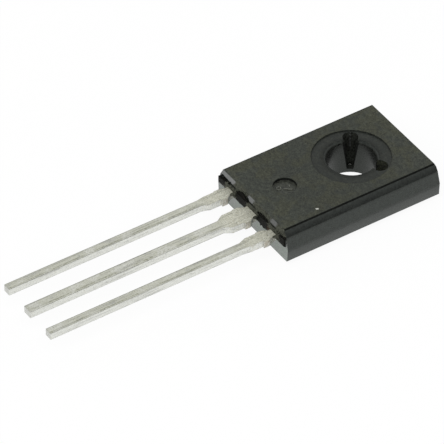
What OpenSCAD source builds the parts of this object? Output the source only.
// Medium-power transistor in a screw-mounted flat package with three in-line leads.
// The origin is on the axis of the mounting hole, in the plane of the heat-sink face.
// +X runs across the body, +Y away from the leads and +Z out of the front face.

/* [Moulded body] */
// Width of the body at the parting line
body_w = 7.46; // [7.3:0.02:8.4]
// Height from the heat-sink face to the front face
body_h = 2.55; // [2.4:0.05:3.2]
// Hole axis to the far end of the body
far_end = 3.92; // [3.5:0.02:4.6]
// Hole axis to the end where the leads come out
lead_end = 7.12; // [6.9:0.02:7.8]
// Width of the flat front face, between the long bevels
front_w = 6.52; // [5.6:0.02:6.8]
// How far the bevel of each long side comes down from the front face
bevel_h = 0.48; // [0.2:0.02:0.6]
// Width of the body at the foot of those bevels
bevel_foot_w = 7.06; // [6.9:0.02:7.2]
// Lean of the far end, from the parting line up to its small edge bevel
end_lean = 0.05; // [0:0.01:0.2]
// Width of the small bevel at the front edge of the far end
end_bevel = 0.08; // [0.02:0.01:0.2]
// Height of that small bevel
end_bevel_h = 0.20; // [0.05:0.05:0.4]
// Lean of the long sides, from the parting line down to the back edge
lower_lean = 0.04; // [0:0.01:0.1]
// Height of the bevel at the back edge of the long sides
foot_h = 0.37; // [0.1:0.01:0.5]
// Height of the bevel at the back edge of the two ends
end_foot_h = 0.30; // [0.1:0.01:0.5]

/* [Mounting hole] */
// Diameter of the screw hole
hole_d = 3.04; // [2.9:0.02:3.3]
// Diameter of the shallow seat around the hole
seat_d = 4.88; // [4.4:0.02:5.4]
// Depth of that seat below the front face
seat_depth = 0.07; // [0.04:0.01:0.3]
// Radius of the rounded edge between the seat and the hole
hole_round = 0.20; // [0.05:0.01:0.3]
// Angle of the two clamp-pin marks, each side of the far end
pin_angle = 57; // [50:1:75]
// Diameter of a clamp-pin mark at the front face
pin_top_d = 0.98; // [0.8:0.02:1.2]
// Diameter of a clamp-pin mark at its floor
pin_low_d = 0.44; // [0.3:0.02:0.5]
// Hole axis to the centre of a mark, at the front face
pin_top_r = 1.88; // [1.75:0.01:1.95]
// Hole axis to the centre of a mark, at its floor
pin_low_r = 1.58; // [1.5:0.01:1.6]
// Height of the floor of a mark above the back face
pin_floor = 0.37; // [0.2:0.01:0.6]

/* [Front recess] */
// Diameter of the round recess that an insert in the mould leaves
recess_d = 1.47; // [0.8:0.01:2]
// Depth of the round recess
recess_depth = 0.20; // [0.05:0.01:0.3]
// Hole axis to the centre of the recess
recess_back = 4.83; // [4:0.01:5.6]

/* [Lead frame] */
// Thickness of the lead frame
metal_t = 0.47; // [0.4:0.01:0.6]
// Back face to the underside of the leads
lead_z = 1.25; // [1:0.01:1.5]
// Distance between neighbouring leads
pitch = 2.29; // [2.2:0.01:2.4]
// Length of the leads outside the body
lead_len = 15.85; // [8:0.05:16.5]
// Width of the slim part of the middle lead
mid_lead_w = 0.67; // [0.6:0.01:0.8]
// Width of the slim part of the outer leads
outer_lead_w = 0.53; // [0.45:0.01:0.7]
// Length of a lead's straight neck, from the body
neck_len = 0.28; // [0.1:0.02:0.8]
// Length over which a neck widens to the sheared stubs of the tie bar
neck_taper = 0.38; // [0.1:0.02:0.8]
// Length of a sheared stub along the lead
stub_len = 0.38; // [0.2:0.02:0.8]
// Length of a lead's wide shoulder, past the stub
shoulder_len = 0.79; // [0.2:0.01:1.6]
// Length over which a shoulder narrows to the slim part of the lead
shoulder_taper = 0.50; // [0.2:0.02:1]
// Width of the shoulder of the middle lead
mid_shoulder_w = 1.28; // [1:0.01:1.4]
// How far a sheared stub stands out of a lead's shoulder on its +X side
stub_plus = 0.14; // [0.04:0.01:0.2]
// How far a sheared stub stands out of a lead's shoulder on its -X side
stub_minus = 0.06; // [0.04:0.01:0.2]
// How far an outer lead's shoulder widens towards the middle lead
inner_widen = 0.19; // [0.05:0.01:0.25]
// How far an outer lead's shoulder widens away from the middle lead
outer_widen = 0.08; // [0.02:0.01:0.15]
// Width of the middle lead where it enters the body
mid_neck_w = 0.98; // [0.8:0.01:1.2]
// Width of the outer leads where they enter the body
outer_neck_w = 0.60; // [0.5:0.01:0.7]

/* [Heat-sink plate] */
// Width of the bare metal pad in the back face
pad_w = 5.20; // [4.4:0.05:5.6]
// Hole axis to the pad's edge at the far end of the body
pad_far = 3.00; // [2.6:0.05:3.2]
// Hole axis to the pad's edge at the lead end
pad_near = 4.15; // [4.1:0.01:4.3]
// How far the plate's upper ledge reaches out under the moulding on each side
ledge = 0.22; // [0.1:0.01:0.3]
// Thickness of that ledge
ledge_t = 0.20; // [0.1:0.01:0.3]
// Thickness of the moulded lining between the plate and the screw hole
lining = 0.275; // [0.2:0.005:0.4]
// Width of the strap that joins the plate to the middle lead
strap_w = 1.30; // [1.1:0.01:1.4]

/* [Bond posts] */
// Width of the flat post on the inner end of each outer lead
post_w = 1.70; // [1.4:0.01:1.8]
// Length of the flat post
post_len = 1.20; // [0.9:0.01:1.3]
// Distance of the posts from the lead end of the body
post_depth = 1.32; // [1.1:0.01:1.4]
// Gap between a post and the strap of the middle lead
post_gap = 0.50; // [0.4:0.01:0.6]
// Diameter of the hole in a post that the moulding locks into
lock_d = 0.50; // [0.3:0.01:0.6]

/* [Chip and bond wires] */
// Side of the square silicon chip
die_w = 1.60; // [1:0.01:1.8]
// Thickness of the chip
die_t = 0.25; // [0.15:0.01:0.3]
// Hole axis to the centre of the chip
die_y = 3.10; // [3.05:0.01:3.2]
// Thickness of the solder under the chip
solder_t = 0.04; // [0.02:0.01:0.08]
// Width of solder that shows around the chip
solder_rim = 0.05; // [0.01:0.01:0.1]
// Diameter of the emitter bond wire
emitter_wire_d = 0.25; // [0.15:0.01:0.3]
// Diameter of the base bond wire
base_wire_d = 0.18; // [0.12:0.01:0.25]
// Rise of a bond wire above the straight line between its ends
wire_rise = 0.42; // [0.3:0.01:0.5]

/* [Mould flash] */
// How far the broken flash between the leads stands out of the lead end
flash_out = 0.09; // [0.02:0.01:0.2]
// How far it stands out at the -X corner of the body
flash_corner_out = 0.14; // [0.02:0.01:0.2]
// Thickness of the flash
flash_t = 0.56; // [0.2:0.01:0.7]
// How far the flash rises above the top plane of the leads
flash_rise = 0.22; // [0:0.01:0.3]
// How far a thin spur of flash reaches out along the +X side of a lead
spur_out = 0.38; // [0.2:0.01:0.5]
// Width of a spur where it leaves the body
spur_w = 0.34; // [0.2:0.01:0.5]
// Thickness of a spur, under the top plane of the leads
spur_t = 0.12; // [0.06:0.01:0.3]

/* [Hidden] */
$fn = 96;

over = 1;                               // how far a cutter runs past what it cuts
round_step = 15;                        // degrees between the points of a rounded edge
lead_top = lead_z + metal_t;
seat_z = body_h - seat_depth;
half_w = body_w / 2;
foot_w = half_w - lower_lean;           // half width at the top of the back-edge bevel
foot_in = foot_h;                       // the back-edge bevels run at 45 degrees
end_foot_in = end_foot_h;
lead_end_rise = 0.04;                   // lean of the lead end, up to the front face
plate_hole_d = hole_d + 2 * lining;
die_z = metal_t + solder_t;
die_top = die_z + die_t;
flash_half_w = bevel_foot_w / 2;
neck_sides = [-pitch + outer_neck_w / 2, mid_neck_w / 2, pitch + outer_neck_w / 2];
neck_end = lead_end + neck_len;         // places along the leads, from the hole axis
stub_inner = neck_end + neck_taper;
stub_outer = stub_inner + stub_len;
shoulder_end = stub_outer + shoulder_len;
slim_end = shoulder_end + shoulder_taper;
tip_y = lead_end + lead_len;
post_low = lead_end - post_depth;       // edge of the posts that faces the leads
post_y = post_low - post_len;           // edge of the posts that faces the hole
post_in = strap_w / 2 + post_gap;       // x of the edge of a post that faces the strap
post_mid = post_in + post_w / 2;
post_taper = post_w / 4;                // length over which an outer lead widens to its post
bond_y = post_y + post_len / 3;         // where a wire is bonded to a post
emitter_spot = [-die_w / 5, -die_y - die_w / 8];
base_spot = [die_w / 4, -die_y - die_w / 5];
arc_margin = 8;                         // extra arc at each end of a wire, cut off flush
wire_foot_heel = 0.6;                   // a bonded foot, in wire diameters: each side of the
wire_foot_toe = 1.6;                    // bond, across the wire and in height
wire_foot_w = 1.4;
wire_foot_t = 1 / 3;
pad_corner = 0.35;                      // corner cut of the plate
strap_foot_y = pad_near + ledge;        // where the strap leaves the plate
strap_top_y = strap_foot_y + lead_z;    // where it reaches the plane of the leads
bend_shift = metal_t * tan(22.5);       // keeps the thickness even through a 45 degree bend

// ---- moulded body ----

// Cross-section of the body, seen along its length
module cross_section() {
    polygon([
        [-foot_w + foot_in, 0], [foot_w - foot_in, 0], [foot_w, foot_h],
        [half_w, lead_z], [bevel_foot_w / 2, body_h - bevel_h], [front_w / 2, body_h],
        [-front_w / 2, body_h], [-bevel_foot_w / 2, body_h - bevel_h], [-half_w, lead_z],
        [-foot_w, foot_h]
    ]);
}

// Outline of the body from the side, with the length along the first axis
module side_view() {
    polygon([
        [-lead_end + end_foot_in, 0], [far_end - end_foot_in, 0], [far_end, end_foot_h],
        [far_end, lead_z], [far_end - end_lean, body_h - end_bevel_h],
        [far_end - end_lean - end_bevel, body_h], [-lead_end + lead_end_rise, body_h],
        [-lead_end, lead_z], [-lead_end, end_foot_h]
    ]);
}

// The body before anything is cut from it: both outlines, mitred at the corners
module moulded_block() {
    intersection() {
        translate([0, far_end + over, 0]) rotate([90, 0, 0])
            linear_extrude(far_end + lead_end + 2 * over) cross_section();
        translate([-body_w, 0, 0]) rotate([90, 0, 90])
            linear_extrude(2 * body_w) side_view();
    }
}

// Screw hole, its shallow seat and the rounded edge between them
module screw_hole() {
    round_r = hole_d / 2 + hole_round;
    round_z = seat_z - hole_round;
    translate([0, 0, -over]) cylinder(h = body_h + 2 * over, d = hole_d);
    translate([0, 0, seat_z]) cylinder(h = seat_depth + over, d = seat_d);
    rotate_extrude()
        polygon(concat(
            [[0, round_z]],
            [for (t = [0 : round_step : 90])
                [round_r - hole_round * cos(t), round_z + hole_round * sin(t)]],
            [[0, seat_z]]
        ));
}

// One mark of a tapered pin that clamps the plate while the body is moulded
module pin_mark(angle) {
    rise = body_h - pin_floor;
    lean = atan((pin_top_r - pin_low_r) / rise);
    widening = (pin_top_d - pin_low_d) / rise;
    rotate([0, 0, angle]) intersection() {
        translate([0, -seat_d / 2, pin_floor]) cube([seat_d / 2, seat_d, rise + over]);
        translate([pin_low_r, 0, pin_floor]) rotate([0, lean, 0])
            translate([0, 0, -over])
                cylinder(h = rise + 2 * over,
                         d1 = pin_low_d - widening * over, d2 = pin_top_d + widening * over);
    }
}

// Round recess in the front face
module front_recess() {
    translate([0, -recess_back, body_h - recess_depth])
        cylinder(h = recess_depth + over, d = recess_d);
}

// Broken flash across the lead end, and thin spurs of it along the sides of the leads
module flash() {
    flash_y = lead_end + flash_out;
    corner_y = lead_end + flash_corner_out;
    root_y = lead_end - outer_neck_w / 2;
    translate([0, 0, lead_top + flash_rise - flash_t]) linear_extrude(flash_t)
        polygon([
            [-flash_half_w, -root_y], [flash_half_w, -root_y],
            [flash_half_w, -lead_end], [flash_half_w - flash_out, -flash_y],
            [-pitch, -flash_y], [-flash_half_w, -corner_y]
        ]);
    translate([0, 0, lead_top - spur_t]) linear_extrude(spur_t)
        for (x = neck_sides)
            polygon([
                [x - outer_neck_w / 2, -root_y], [x + spur_w, -root_y],
                [x + spur_w, -flash_y], [x, -lead_end - spur_out],
                [x - outer_neck_w / 2, -lead_end - spur_out]
            ]);
}

module body() {
    color("#3e403c") difference() {
        union() {
            moulded_block();
            flash();
        }
        screw_hole();
        pin_mark(90 - pin_angle);
        pin_mark(90 + pin_angle);
        front_recess();
        frame_metal();
        outer_lead_metal(-1);
        outer_lead_metal(1);
        chip_metal();
        emitter_wire_metal();
        base_wire_metal();
    }
}

// ---- lead frame ----

// Root of a lead, from its slim part through the sheared tie-bar stub to the neck at the body.
// It is one side of the plan: side is 1 for the +X side and -1 for the -X side.
function root_side(side, slim, shoulder, neck) =
    let (stub = shoulder + (side > 0 ? stub_plus : stub_minus))
    [[side * slim, -tip_y], [side * slim, -slim_end], [side * shoulder, -shoulder_end],
     [side * shoulder, -stub_outer], [side * stub, -stub_outer], [side * stub, -stub_inner],
     [side * neck, -neck_end]];

// The points of a list in the opposite order
function reversed(points) = [for (i = [len(points) - 1 : -1 : 0]) points[i]];

// Plan of the middle lead, from its tip to the top of the strap inside the body
module mid_lead_plan() {
    neck = mid_neck_w / 2;
    strap = strap_w / 2;
    inside = [[neck, -lead_end + neck], [strap, -lead_end + strap], [strap, -strap_top_y]];
    polygon(concat(
        root_side(1, mid_lead_w / 2, mid_shoulder_w / 2, neck), inside,
        [for (p = reversed(inside)) [-p[0], p[1]]],
        reversed(root_side(-1, mid_lead_w / 2, mid_shoulder_w / 2, neck))
    ));
}

// Strap that climbs at 45 degrees from the plate to the plane of the leads
module strap() {
    translate([-strap_w / 2, 0, 0]) rotate([90, 0, 90]) linear_extrude(strap_w)
        polygon([
            [-pad_near, 0], [-strap_foot_y, 0], [-strap_top_y, lead_z],
            [-strap_top_y + bend_shift, lead_top], [-strap_foot_y + bend_shift, metal_t],
            [-pad_near, metal_t]
        ]);
    translate([-strap_w / 2, -strap_top_y, lead_z]) cube([strap_w, bend_shift, metal_t]);
}

// Plan of the plate, with cut corners
module plate_plan(grow) {
    w = pad_w / 2 + grow;
    far = pad_far + grow;
    near = pad_near + grow;
    polygon([
        [-w, -near], [w, -near], [w, far - pad_corner], [w - pad_corner, far],
        [-w + pad_corner, far], [-w, far - pad_corner]
    ]);
}

// Heat-sink plate, middle lead and the strap between them: one stamped and bent piece
module frame_metal() {
    difference() {
        union() {
            linear_extrude(metal_t) plate_plan(0);
            translate([0, 0, metal_t - ledge_t]) linear_extrude(ledge_t) plate_plan(ledge);
        }
        translate([0, 0, -over]) cylinder(h = metal_t + 2 * over, d = plate_hole_d);
    }
    strap();
    translate([0, 0, lead_z]) linear_extrude(metal_t) mid_lead_plan();
}

module collector_frame() {
    color("#c9c8bd") frame_metal();
}

// Plan of an outer lead; side is -1 for the emitter and 1 for the base
module outer_lead_plan(side) {
    slim = outer_lead_w / 2;
    plus_widen = side > 0 ? outer_widen : inner_widen;
    minus_widen = side > 0 ? inner_widen : outer_widen;
    neck = outer_neck_w / 2;
    taper_y = post_low + post_taper;
    post_a = side * post_mid - post_w / 2 - side * pitch;
    post_b = post_a + post_w;
    post = [[neck, -taper_y], [post_b, -post_low], [post_b, -post_y], [post_a, -post_y],
            [post_a, -post_low], [-neck, -taper_y]];
    translate([side * pitch, 0]) polygon(concat(
        root_side(1, slim, slim + plus_widen, neck), post,
        reversed(root_side(-1, slim, slim + minus_widen, neck))
    ));
}

// Outer lead with its bond post and the hole that the moulding locks into
module outer_lead_metal(side) {
    translate([0, 0, lead_z]) linear_extrude(metal_t) difference() {
        outer_lead_plan(side);
        translate([side * (post_in + post_w - lock_d), -post_low + lock_d])
            circle(d = lock_d);
    }
}

module emitter_lead() {
    color("#c9c8bd") outer_lead_metal(-1);
}

module base_lead() {
    color("#c9c8bd") outer_lead_metal(1);
}

// ---- chip ----

module die_block() {
    translate([-die_w / 2, -die_y - die_w / 2, die_z]) cube([die_w, die_w, die_t]);
}

module solder_block() {
    w = die_w + 2 * solder_rim;
    translate([-w / 2, -die_y - w / 2, metal_t]) cube([w, w, solder_t]);
}

module chip_metal() {
    die_block();
    solder_block();
}

module die() {
    color("#5b6066") die_block();
}

module die_solder() {
    color("#9a9a98") solder_block();
}

// ---- bond wires ----

// Wire between a point on the chip and a point on a post. It is an arc in an upright plane,
// with a flattened foot at each end, and it is cut flush with the two faces it is bonded to.
module bond_wire(from, to, d) {
    run = norm(to - from);
    climb = lead_top - die_top;
    chord = norm([run, climb]);
    radius = (chord * chord / 4 + wire_rise * wire_rise) / (2 * wire_rise);
    tilt = atan2(climb, run);
    drop = radius - wire_rise;
    centre = [run / 2 + drop * sin(tilt), die_top + climb / 2 - drop * cos(tilt)];
    spread = asin(chord / 2 / radius);
    foot = [(wire_foot_heel + wire_foot_toe) * d, wire_foot_w * d, wire_foot_t * d];
    heading = atan2(to[1] - from[1], to[0] - from[0]);
    translate([from[0], from[1], 0]) rotate([0, 0, heading]) {
        difference() {
            translate([centre[0], 0, centre[1]]) rotate([90, 0, 0])
                rotate([0, 0, 90 + tilt - spread - arc_margin])
                    rotate_extrude(angle = 2 * (spread + arc_margin))
                        translate([radius, 0]) circle(d = d, $fn = 48);
            translate([-over, -over, die_top - 2 * over]) cube([over + run / 2, 2 * over, 2 * over]);
            translate([run - 2 * d, -over, lead_top - 2 * over]) cube([2 * over, 2 * over, 2 * over]);
        }
        translate([-wire_foot_toe * d, -foot[1] / 2, die_top]) cube(foot);
        translate([run - wire_foot_heel * d, -foot[1] / 2, lead_top]) cube(foot);
    }
}

module emitter_wire_metal() {
    bond_wire(emitter_spot, [-post_mid, -bond_y], emitter_wire_d);
}

module base_wire_metal() {
    bond_wire(base_spot, [post_mid, -bond_y], base_wire_d);
}

module emitter_wire() {
    color("#d9d9d6") emitter_wire_metal();
}

module base_wire() {
    color("#d9d9d6") base_wire_metal();
}

body();
collector_frame();
emitter_lead();
base_lead();
die();
die_solder();
emitter_wire();
base_wire();
